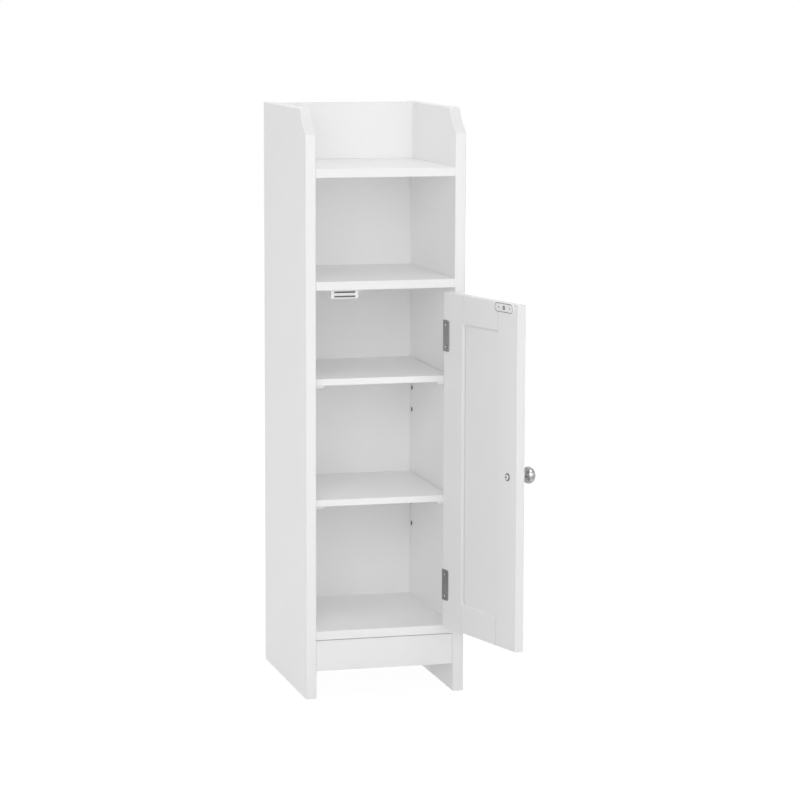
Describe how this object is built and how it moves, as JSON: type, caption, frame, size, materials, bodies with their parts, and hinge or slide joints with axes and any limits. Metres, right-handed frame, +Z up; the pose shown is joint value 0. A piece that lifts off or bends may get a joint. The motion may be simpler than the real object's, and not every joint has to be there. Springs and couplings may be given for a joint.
{
  "type": "bathroom cabinet",
  "caption": "Narrow floor-standing cabinet with an open tray, an open compartment, and shelves behind a framed door on wrap-around hinges with a magnetic catch",
  "frame": {"origin": "outer front corner of the left foot, on the floor, in the plane of the side panels' front edges", "axes": "+X to the right, +Y to the back, +Z up; the door opens towards -Y"},
  "size_m": [0.2746, 0.4556, 0.81],
  "materials": {
    "painted_board": "white satin lacquer on fibreboard",
    "white_plastic": "white moulded plastic",
    "plated_steel": "zinc plated, satin",
    "hinge_steel": "satin nickel, brushed",
    "knob_chrome": "satin chrome",
    "magnet": "dark ferrite",
    "dowel_wood": "raw beech"
  },
  "bodies": {
    "carcass": {"left_side_panel": "painted_board", "right_side_panel": "painted_board", "back_panel": "painted_board", "tray_back_board": "painted_board", "top_shelf": "painted_board", "middle_shelf": "painted_board", "bottom_shelf": "painted_board", "toe_kick": "painted_board", "upper_adjustable_shelf": "painted_board", "lower_adjustable_shelf": "painted_board", "upper_shelf_supports": "white_plastic", "lower_shelf_supports": "white_plastic", "catch_housing": "white_plastic", "catch_magnet": "magnet", "catch_pole_plates": "hinge_steel", "catch_screws": "plated_steel", "upper_hinge_frame_leaf": "hinge_steel", "lower_hinge_frame_leaf": "hinge_steel", "upper_hinge_pin": "hinge_steel", "lower_hinge_pin": "hinge_steel", "hinge_frame_screws": "hinge_steel", "cam_locks": "plated_steel", "cam_bolts": "plated_steel", "dowels": "dowel_wood", "back_panel_screws": "plated_steel"},
    "door": {"door_hinge_stile": "painted_board", "door_free_stile": "painted_board", "door_top_rail": "painted_board", "door_bottom_rail": "painted_board", "door_centre_panel": "painted_board", "strike_plate": "plated_steel", "strike_screw": "plated_steel", "knob": "knob_chrome", "knob_screw": "plated_steel", "upper_hinge_door_leaf": "hinge_steel", "lower_hinge_door_leaf": "hinge_steel", "hinge_door_screws": "hinge_steel"}
  },
  "joints": [
    {"name": "door_hinge", "type": "hinge", "parent": "carcass", "child": "door", "pos_m": [0.20875, -0.0053, 0.32837], "axis": [0, 0, 1], "range_deg": [-104.8, 75.2]}
  ]
}
